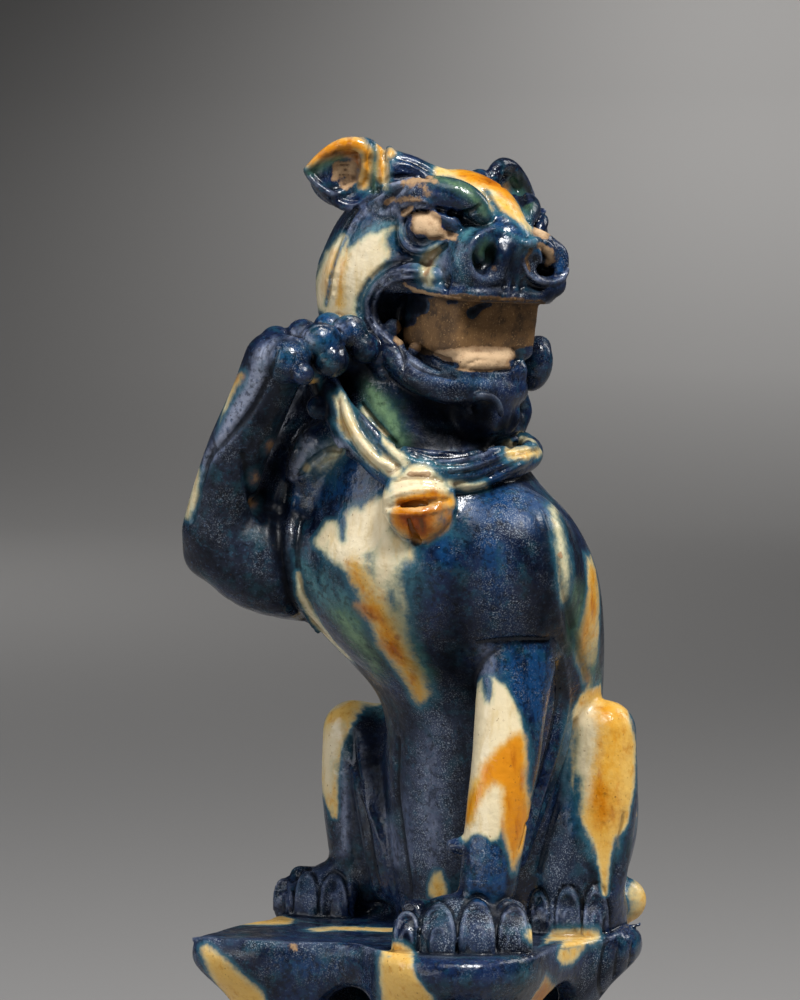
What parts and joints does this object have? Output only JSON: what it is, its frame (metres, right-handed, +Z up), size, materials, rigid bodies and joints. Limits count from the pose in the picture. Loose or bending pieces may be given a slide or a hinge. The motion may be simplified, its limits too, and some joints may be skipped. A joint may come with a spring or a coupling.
{
  "type": "seated lion figurine",
  "caption": "Glazed earthenware guardian lion seated on a hollow pierced plinth, one forepaw raised to its cheek, with a twisted collar and a round bell.",
  "frame": {"origin": "on the ground, under the middle of the object's outline", "axes": "+Z up, -Y the way the chest faces, +X the lion's left side"},
  "size_m": [0.1096, 0.1026, 0.281],
  "materials": {
    "lead_glaze": "glossy cobalt, amber and straw glaze over buff clay"
  },
  "bodies": {
    "root": {"lion_on_plinth": "lead_glaze"}
  },
  "joints": []
}
